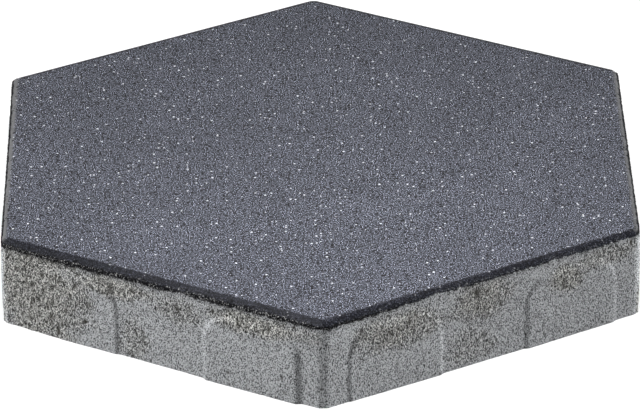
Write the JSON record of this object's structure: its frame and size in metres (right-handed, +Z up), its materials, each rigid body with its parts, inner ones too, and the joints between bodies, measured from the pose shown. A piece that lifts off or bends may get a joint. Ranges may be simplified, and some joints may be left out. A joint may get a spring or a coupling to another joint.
{
  "type": "stepping stone",
  "caption": "Hexagonal pressed-concrete stepping stone with a dark face layer, a grey backing, a rounded arris and spacer pads on its sides.",
  "frame": {"origin": "middle of the underside, on the plane that the stone lies on", "axes": "+Z up towards the walking face, two corners on the Y axis, two sides square to the X axis"},
  "size_m": [0.3484, 0.3974, 0.051],
  "materials": {
    "backing_concrete": "raw pressed concrete, light grey, fine open pits",
    "face_concrete": "fine-grained anthracite face concrete with pale mineral specks"
  },
  "bodies": {
    "root": {"backing_slab": "backing_concrete", "face_layer": "face_concrete"}
  },
  "joints": []
}
